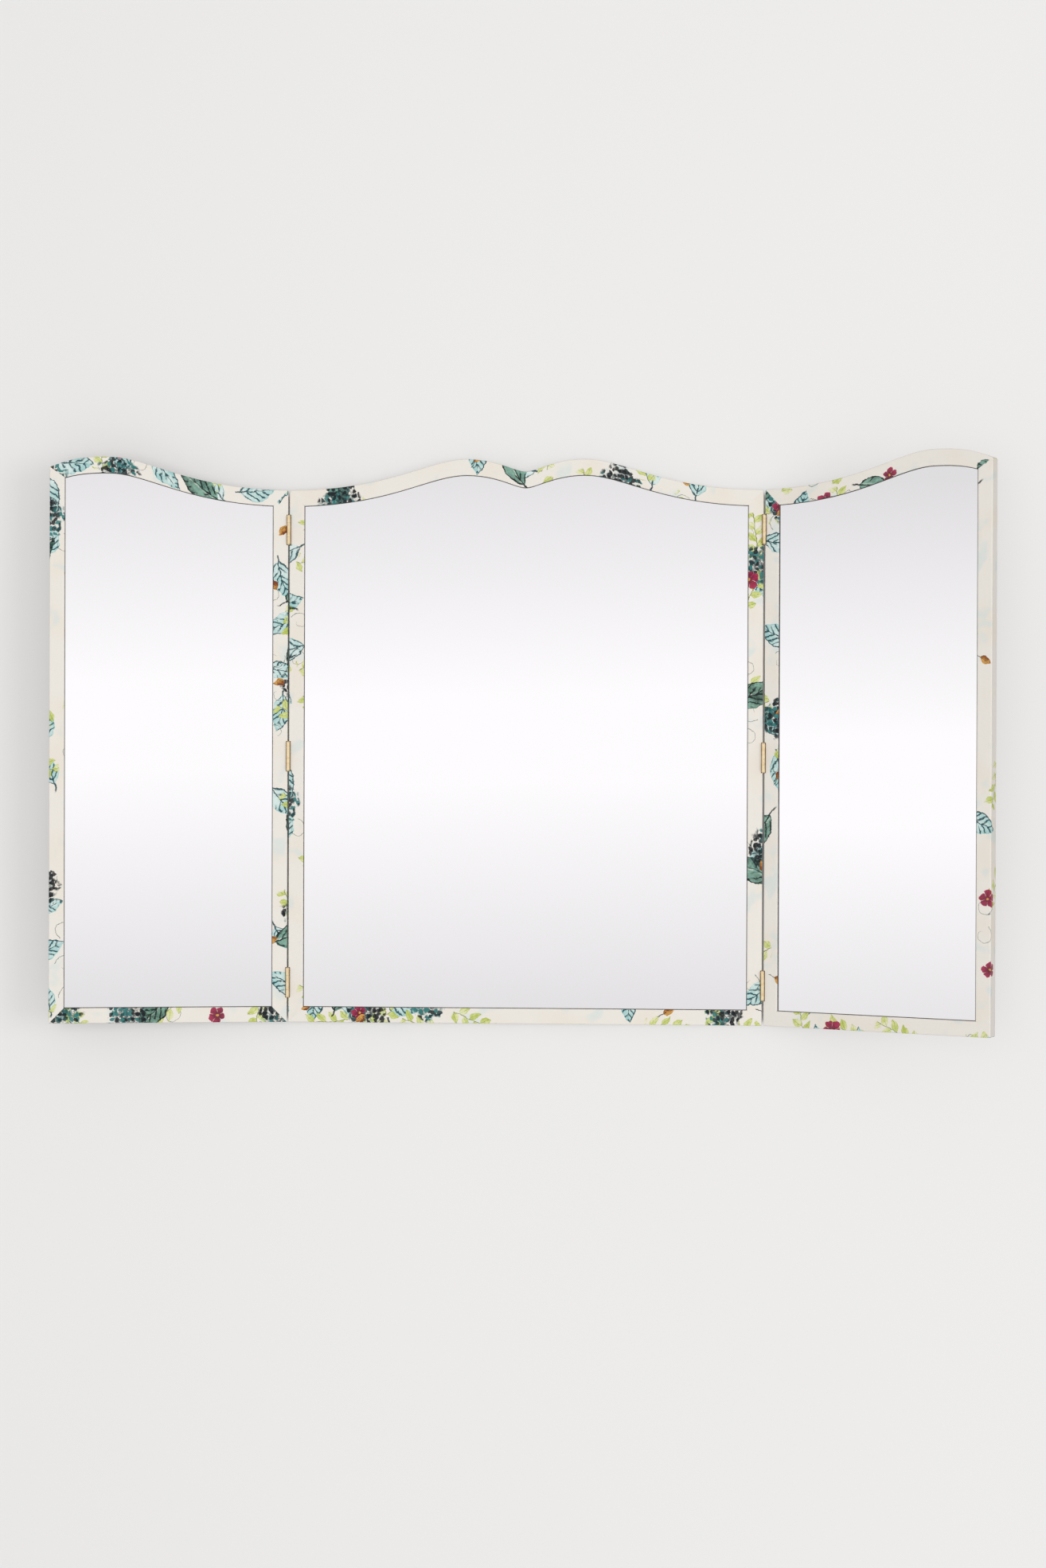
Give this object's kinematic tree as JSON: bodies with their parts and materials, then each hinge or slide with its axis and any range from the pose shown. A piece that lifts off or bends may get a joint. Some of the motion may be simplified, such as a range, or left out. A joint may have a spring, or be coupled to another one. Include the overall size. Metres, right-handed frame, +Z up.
{
  "type": "trifold wall mirror",
  "caption": "Folding wall mirror with a waved top: hinged wings beside a fixed centre panel, glass in mitred frames under a printed botanical cover, hung by keyhole plates.",
  "frame": {"origin": "on the back plane of the centre panel, midway between the entry holes of the keyhole plates", "axes": "+X to the viewer's right, +Y into the wall, +Z up; the mirror faces -Y"},
  "size_m": [1.1931, 0.1542, 0.724],
  "materials": {
    "frame_wood": "raw fibreboard",
    "printed_cloth": "cream cloth with a small botanical print, lightly sealed",
    "feather_wood": "raw plywood",
    "mirror_glass": "silvered float glass",
    "dark_gasket": "dark, matt",
    "adhesive": "foam, matt",
    "board": "raw fibreboard",
    "steel": "zinc plated",
    "bumper": "soft, matt",
    "brass": "plated, satin"
  },
  "bodies": {
    "centre": {"centre_top_rail": "frame_wood", "centre_bottom_rail": "frame_wood", "centre_left_stile": "frame_wood", "centre_right_stile": "frame_wood", "centre_printed_cover": "printed_cloth", "centre_corner_feathers": "feather_wood", "centre_mirror": "mirror_glass", "centre_glazing_gasket": "dark_gasket", "centre_adhesive_pads": "adhesive", "centre_back_board": "board", "centre_board_screws": "steel", "centre_wall_bumpers": "bumper", "centre_hinge_screws": "brass", "centre_keyhole_screws": "steel", "centre_left_keyhole_plate": "steel", "centre_right_keyhole_plate": "steel", "left_hinge_pins": "brass", "left_upper_fixed_leaf": "brass", "left_middle_fixed_leaf": "brass", "left_lower_fixed_leaf": "brass", "right_hinge_pins": "brass", "right_upper_fixed_leaf": "brass", "right_middle_fixed_leaf": "brass", "right_lower_fixed_leaf": "brass"},
    "left_wing": {"left_wing_top_rail": "frame_wood", "left_wing_bottom_rail": "frame_wood", "left_wing_hinge_stile": "frame_wood", "left_wing_outer_stile": "frame_wood", "left_wing_printed_cover": "printed_cloth", "left_wing_corner_feathers": "feather_wood", "left_wing_mirror": "mirror_glass", "left_wing_glazing_gasket": "dark_gasket", "left_wing_adhesive_pads": "adhesive", "left_wing_back_board": "board", "left_wing_board_screws": "steel", "left_wing_wall_bumpers": "bumper", "left_wing_hinge_screws": "brass", "left_upper_moving_leaf": "brass", "left_middle_moving_leaf": "brass", "left_lower_moving_leaf": "brass"},
    "right_wing": {"right_wing_top_rail": "frame_wood", "right_wing_bottom_rail": "frame_wood", "right_wing_hinge_stile": "frame_wood", "right_wing_outer_stile": "frame_wood", "right_wing_printed_cover": "printed_cloth", "right_wing_corner_feathers": "feather_wood", "right_wing_mirror": "mirror_glass", "right_wing_glazing_gasket": "dark_gasket", "right_wing_adhesive_pads": "adhesive", "right_wing_back_board": "board", "right_wing_board_screws": "steel", "right_wing_wall_bumpers": "bumper", "right_wing_hinge_screws": "brass", "right_upper_moving_leaf": "brass", "right_middle_moving_leaf": "brass", "right_lower_moving_leaf": "brass"}
  },
  "joints": [
    {"name": "left_wing_hinge", "type": "hinge", "parent": "centre", "child": "left_wing", "pos_m": [-0.3048, -0.019, 0], "axis": [0, 0, 1], "range_deg": [-9.6, 170.4]},
    {"name": "right_wing_hinge", "type": "hinge", "parent": "centre", "child": "right_wing", "pos_m": [0.3048, -0.019, 0], "axis": [0, 0, -1], "range_deg": [-26.3, 153.7]}
  ]
}
